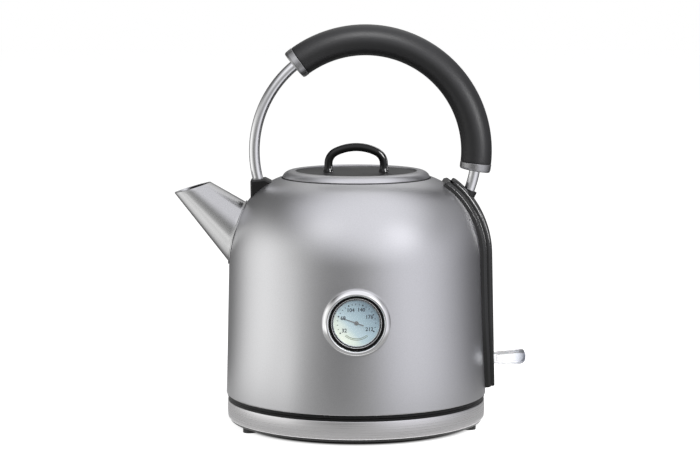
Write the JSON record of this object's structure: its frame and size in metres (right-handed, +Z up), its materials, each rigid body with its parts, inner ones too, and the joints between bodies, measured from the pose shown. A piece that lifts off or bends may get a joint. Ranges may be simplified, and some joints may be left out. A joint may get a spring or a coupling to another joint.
{
  "type": "electric kettle",
  "caption": "Cordless electric kettle with a domed steel body, arched top handle, lift-off lid, short spout, front temperature dial and rear switch lever, on a round swivelling power base.",
  "frame": {"origin": "on the table, on the axis of the domed body and of the power base", "axes": "+Z up, -X along the spout, +X out of the switch lever at the back panel, -Y out of the temperature dial"},
  "size_m": [0.2403, 0.1833, 0.2727],
  "materials": {
    "satin_steel": "satin drawn steel",
    "dark_steel": "dark satin disc",
    "band_steel": "brushed round the band",
    "bright_steel": "polished",
    "plain_steel": "plain mill finish",
    "soft_black": "fine matt soft touch",
    "gloss_black": "moulded, satin gloss",
    "black_plastic": "moulded, fine grain",
    "clear_lever": "frosted clear moulding",
    "clear_window": "clear moulding",
    "lens_glass": "clear",
    "filter_plastic": "moulded mesh",
    "seal_rubber": "soft",
    "spreader_metal": "pressed",
    "contact_brass": "bright",
    "dial_face": "printed dial",
    "needle_paint": "dark",
    "wire_jacket": "heatproof sleeve",
    "lamp_glass": "tinted"
  },
  "bodies": {
    "power_base": {"base_feet": "seal_rubber", "base_plate": "black_plastic", "base_band": "band_steel", "base_cover": "black_plastic", "base_screws": "plain_steel", "base_connector": "black_plastic", "base_contacts": "contact_brass", "cord_gland": "black_plastic"},
    "slip_ring": {"slip_ring": "black_plastic"},
    "spout_filter": {"spout_filter": "filter_plastic"},
    "switch_lever": {"switch_lever": "clear_lever"},
    "contact_plunger": {"contact_plunger": "black_plastic"},
    "gauge_needle": {"gauge_needle": "needle_paint"},
    "lid": {"lid_cap": "satin_steel", "lid_disc": "dark_steel", "lid_plug": "black_plastic", "lid_seal": "seal_rubber", "lid_knob": "gloss_black", "knob_screws": "plain_steel"},
    "kettle": {"body_shell": "satin_steel", "neck_ring": "satin_steel", "spout": "satin_steel", "handle_rod": "bright_steel", "grip_ferrule_front": "bright_steel", "grip_ferrule_rear": "bright_steel", "gauge_bezel": "bright_steel", "gauge_rim": "bright_steel", "heater_plate": "plain_steel", "heating_element": "plain_steel", "gauge_can": "plain_steel", "gauge_washer": "plain_steel", "handle_screws": "plain_steel", "bottom_screws": "plain_steel", "lever_pin": "plain_steel", "handle_grip": "soft_black", "front_bracket": "gloss_black", "rear_socket": "gloss_black", "back_frame": "gloss_black", "back_cover": "gloss_black", "bottom_cover": "black_plastic", "kettle_connector": "black_plastic", "steam_switch": "black_plastic", "steam_duct": "black_plastic", "water_window": "clear_window", "gauge_lens": "lens_glass", "gauge_seal": "seal_rubber", "heat_spreader": "spreader_metal", "gauge_nut": "contact_brass", "dry_boil_bimetals": "contact_brass", "steam_bimetal": "contact_brass", "gauge_coil": "contact_brass", "gauge_dial": "dial_face", "switch_wires": "wire_jacket", "switch_lamp": "lamp_glass"}
  },
  "joints": [
    {"name": "kettle_swivel", "type": "hinge", "parent": "power_base", "child": "slip_ring", "pos_m": [0, 0, 0.0172], "axis": [0, 0, 1], "continuous": true},
    {"name": "kettle_lift", "type": "slide", "parent": "slip_ring", "child": "kettle", "axis": [0, 0, 1], "range_m": [0, 0.06]},
    {"name": "lid_lift", "type": "slide", "parent": "kettle", "child": "lid", "axis": [0, 0, 1], "range_m": [0, 0.045]},
    {"name": "filter_pull", "type": "slide", "parent": "kettle", "child": "spout_filter", "axis": [0.7559, 0, -0.6547], "range_m": [0, 0.03]},
    {"name": "lever_press", "type": "hinge", "parent": "kettle", "child": "switch_lever", "pos_m": [0.08263, 0, 0.0446], "axis": [0, 1, 0], "range_deg": [0, 12]},
    {"name": "plunger_lift", "type": "slide", "parent": "kettle", "child": "contact_plunger", "axis": [0, 0, 1], "range_m": [0, 0.0016]},
    {"name": "needle_turn", "type": "hinge", "parent": "kettle", "child": "gauge_needle", "pos_m": [0, -0.0888, 0.0821], "axis": [0, 1, 0], "range_deg": [-50.8, 183.1]}
  ],
  "couplings": [
    {"joint": "plunger_lift", "follows": "lever_press", "m_per_rad": 0.00715}
  ]
}
